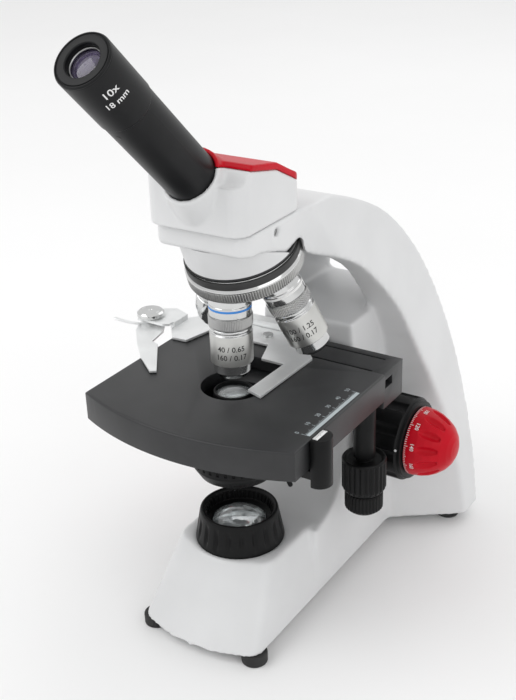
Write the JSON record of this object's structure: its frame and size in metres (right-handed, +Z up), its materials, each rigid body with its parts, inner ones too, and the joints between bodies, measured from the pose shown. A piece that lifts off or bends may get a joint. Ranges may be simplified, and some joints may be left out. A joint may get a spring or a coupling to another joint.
{
  "type": "compound light microscope",
  "caption": "Monocular compound microscope with inclined swivelling head, tilted objective turret, mechanical stage, coaxial focus knobs and lit base.",
  "frame": {"origin": "on the bench under the middle of the bounding box", "axes": "+Z up from the bench, -Y towards the observer, +X to the observer's right"},
  "size_m": [0.189, 0.2628, 0.3307],
  "materials": {
    "white_enamel": "smooth satin enamel on a casting",
    "black_lacquer": "fine matt black lacquer",
    "black_plastic": "satin black moulding",
    "red_plastic": "deep red semi-gloss moulding",
    "chrome_plate": "bright and satin chrome",
    "knurled_steel": "brushed and knurled steel",
    "bronze": "sintered bush",
    "aluminium": "machined",
    "optical_glass": "polished and coated",
    "circuit_board": "solder mask",
    "foot_rubber": "matt"
  },
  "bodies": {
    "stand_body": {"stand": "white_enamel", "rubber_feet": "foot_rubber", "base_plate": "black_plastic", "base_screws": "knurled_steel", "lamp_collar": "black_lacquer", "collector_lens": "optical_glass", "led_board": "circuit_board", "lamp_heat_sink": "aluminium", "driver_board": "circuit_board", "power_inlet": "black_plastic", "switch_bezel": "black_plastic", "focus_guides": "knurled_steel", "shaft_bushes": "bronze", "turret_race": "black_lacquer", "nosepiece_cone": "white_enamel", "turret_bolt": "knurled_steel", "head_lock_screw": "knurled_steel"},
    "rocker_body": {"power_rocker": "black_plastic"},
    "dimmer_body": {"dimmer_wheel": "black_plastic"},
    "coarse_carriage": {"focus_slider": "knurled_steel", "focus_rack": "knurled_steel"},
    "stage_carrier": {"stage_bracket": "black_lacquer", "stage_base": "black_lacquer", "y_vernier": "black_lacquer", "condenser_mount": "black_lacquer", "condenser_body": "black_lacquer", "condenser_lens": "optical_glass"},
    "iris_body": {"iris_ring": "black_lacquer"},
    "cross_slide": {"stage_top": "black_lacquer", "x_guide_bar": "black_lacquer", "control_housing": "black_lacquer"},
    "y_control": {"y_knob": "black_plastic"},
    "x_control": {"x_knob": "black_plastic"},
    "holder_body": {"slide_holder": "knurled_steel", "holder_slider": "knurled_steel", "holder_screws": "chrome_plate"},
    "finger_body": {"holder_finger": "knurled_steel", "finger_pivot": "black_plastic"},
    "head_body": {"head_flange": "aluminium", "head_housing": "white_enamel", "red_cap": "red_plastic", "head_prism": "optical_glass", "eyepiece_tube": "black_lacquer", "tube_grub_screw": "chrome_plate"},
    "eyepiece_body": {"eyepiece_barrel": "black_plastic", "eyepiece_rim": "black_plastic", "eye_lens": "optical_glass", "field_lens": "optical_glass"},
    "turret_body": {"turret_disc": "chrome_plate", "turret_grip": "knurled_steel", "objective_4x": "chrome_plate", "objective_10x": "chrome_plate", "objective_40x": "chrome_plate", "objective_100x": "chrome_plate", "objective_lenses": "optical_glass"},
    "coarse_drive": {"coarse_knobs": "black_plastic", "coarse_shaft": "knurled_steel"},
    "fine_drive": {"fine_knobs": "red_plastic", "fine_shaft": "knurled_steel"}
  },
  "joints": [
    {"name": "coarse_focus", "type": "slide", "parent": "stand_body", "child": "coarse_carriage", "axis": [0, 0, 1], "range_m": [-0.012, 0.003]},
    {"name": "fine_focus", "type": "slide", "parent": "coarse_carriage", "child": "stage_carrier", "axis": [0, 0, 1], "range_m": [-0.0008, 0.0008]},
    {"name": "stage_y", "type": "slide", "parent": "stage_carrier", "child": "cross_slide", "axis": [0, 1, 0], "range_m": [-0.022, 0]},
    {"name": "holder_x", "type": "slide", "parent": "cross_slide", "child": "holder_body", "axis": [1, 0, 0], "range_m": [-0.028, 0.028]},
    {"name": "finger_swing", "type": "hinge", "parent": "holder_body", "child": "finger_body", "pos_m": [-0.07821, 0.01136, 0.14], "axis": [0, 0, 1], "range_deg": [-34, 0], "stiffness_Nm_per_rad": 0.02, "springref_deg": 8.59},
    {"name": "y_turn", "type": "hinge", "parent": "cross_slide", "child": "y_control", "pos_m": [0.05979, 0.01236, 0.08], "axis": [0, 0, 1], "range_deg": [-185, 5]},
    {"name": "x_turn", "type": "hinge", "parent": "cross_slide", "child": "x_control", "pos_m": [0.05979, 0.01236, 0.062], "axis": [0, 0, 1], "range_deg": [-300, 300]},
    {"name": "iris_turn", "type": "hinge", "parent": "stage_carrier", "child": "iris_body", "pos_m": [0.00579, -0.02964, 0.099], "axis": [0, 0, 1], "range_deg": [-40, 40]},
    {"name": "coarse_turn", "type": "hinge", "parent": "stand_body", "child": "coarse_drive", "pos_m": [0.00579, 0.05536, 0.081], "axis": [1, 0, 0], "range_deg": [-40, 130]},
    {"name": "fine_turn", "type": "hinge", "parent": "stand_body", "child": "fine_drive", "pos_m": [0.00579, 0.05536, 0.081], "axis": [1, 0, 0], "range_deg": [-1445, 1445]},
    {"name": "turret_spin", "type": "hinge", "parent": "stand_body", "child": "turret_body", "pos_m": [0.00579, -0.01524, 0.2015], "axis": [0, -0.3123, 0.95], "continuous": true},
    {"name": "head_swivel", "type": "hinge", "parent": "stand_body", "child": "head_body", "pos_m": [0.00579, -0.02964, 0.2301], "axis": [0, 0, 1], "continuous": true},
    {"name": "eyepiece_slide", "type": "slide", "parent": "head_body", "child": "eyepiece_body", "axis": [0, -0.7133, 0.7009], "range_m": [0, 0.018]},
    {"name": "rocker_tip", "type": "hinge", "parent": "stand_body", "child": "rocker_body", "pos_m": [0.00579, 0.12556, 0.02], "axis": [1, 0, 0], "range_deg": [-7, 7]},
    {"name": "dimmer_turn", "type": "hinge", "parent": "stand_body", "child": "dimmer_body", "pos_m": [-0.02021, -0.00564, 0.0255], "axis": [0, 0, 1], "range_deg": [-140, 140]}
  ],
  "couplings": [
    {"joint": "coarse_turn", "follows": "coarse_focus", "rad_per_m": -174.53},
    {"joint": "fine_turn", "follows": "fine_focus", "rad_per_m": 31416},
    {"joint": "y_turn", "follows": "stage_y", "rad_per_m": 142.86},
    {"joint": "x_turn", "follows": "holder_x", "rad_per_m": 185.19}
  ]
}
